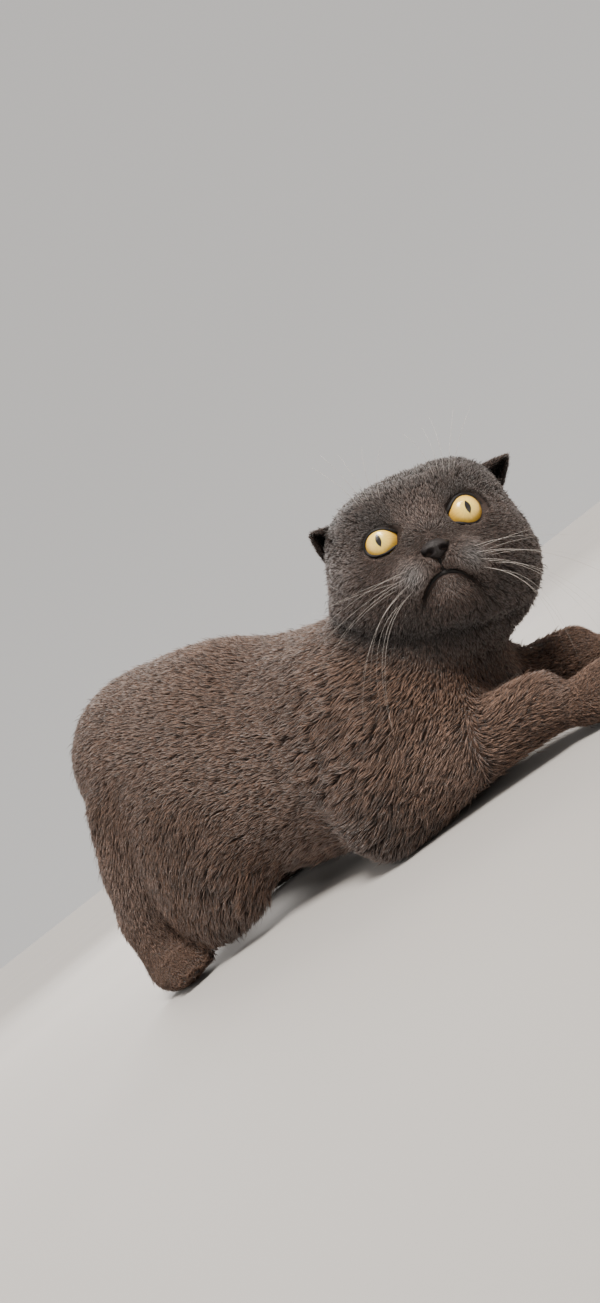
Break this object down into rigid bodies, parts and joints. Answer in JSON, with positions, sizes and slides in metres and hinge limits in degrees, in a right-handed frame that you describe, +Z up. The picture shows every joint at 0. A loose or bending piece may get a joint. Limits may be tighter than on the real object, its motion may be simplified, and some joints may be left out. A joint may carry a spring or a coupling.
{
  "type": "scottish fold cat, life size",
  "caption": "Still life-size model of a grey short-haired cat with folded ears, crouched low with its head turned to one side.",
  "frame": {"origin": "on the floor, under the middle of the box round the whole cat", "axes": "+X from the hips towards the front paws, +Y to the cat's left, +Z up"},
  "size_m": [0.4878, 0.2444, 0.2256],
  "materials": {
    "coat": "short dense brownish grey fur",
    "coat_dark": "short dense dark grey fur",
    "iris": "wet gloss over a golden iris",
    "nose_leather": "damp fine-grained skin"
  },
  "bodies": {
    "root": {"torso": "coat", "neck": "coat", "head": "coat", "nose": "nose_leather", "eye_left": "iris", "eye_right": "iris", "ear_left": "coat_dark", "ear_right": "coat_dark", "upper_arm_left": "coat", "upper_arm_right": "coat", "forearm_left": "coat", "forearm_right": "coat", "front_paw_left": "coat", "front_paw_right": "coat", "thigh_left": "coat", "thigh_right": "coat", "shank_left": "coat", "shank_right": "coat", "hind_paw_left": "coat", "hind_paw_right": "coat", "tail_base": "coat_dark", "tail_middle": "coat_dark", "tail_tip": "coat_dark"}
  },
  "joints": []
}
